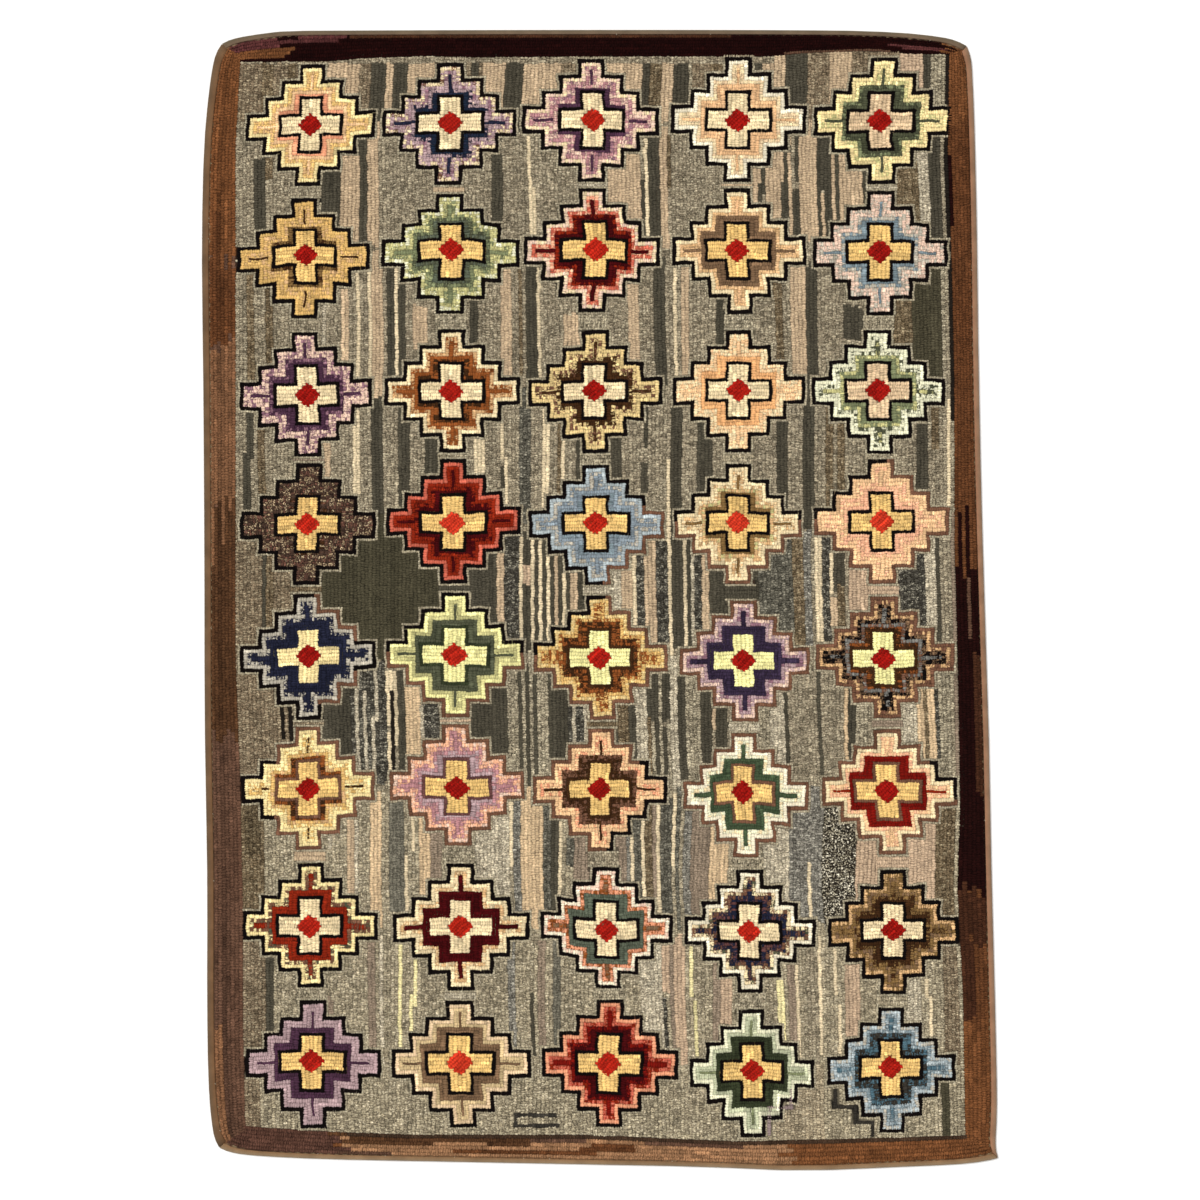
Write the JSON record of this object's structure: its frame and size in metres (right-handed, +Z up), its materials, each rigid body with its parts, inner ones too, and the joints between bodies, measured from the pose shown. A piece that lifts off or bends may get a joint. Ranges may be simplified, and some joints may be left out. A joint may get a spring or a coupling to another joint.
{
  "type": "hooked rug",
  "caption": "Rectangular hand-hooked wool rug lying flat, patterned with stepped cross medallions on a striped grey ground, with a dark border and taped edges.",
  "frame": {"origin": "on the floor, under the middle of the rug's outline", "axes": "+Y along the rug's length, towards the end with the darkest border; +Z up, out of the pile"},
  "size_m": [1.273, 1.823, 0.0094],
  "materials": {
    "hooked_wool": "wool strips hooked into loops, many colours, dull",
    "binding_tape": "worn brown cotton tape, dull"
  },
  "bodies": {
    "root": {"hooked_rug": "hooked_wool", "binding_left": "binding_tape", "binding_bottom": "binding_tape", "binding_right": "binding_tape", "binding_top": "binding_tape"}
  },
  "joints": []
}
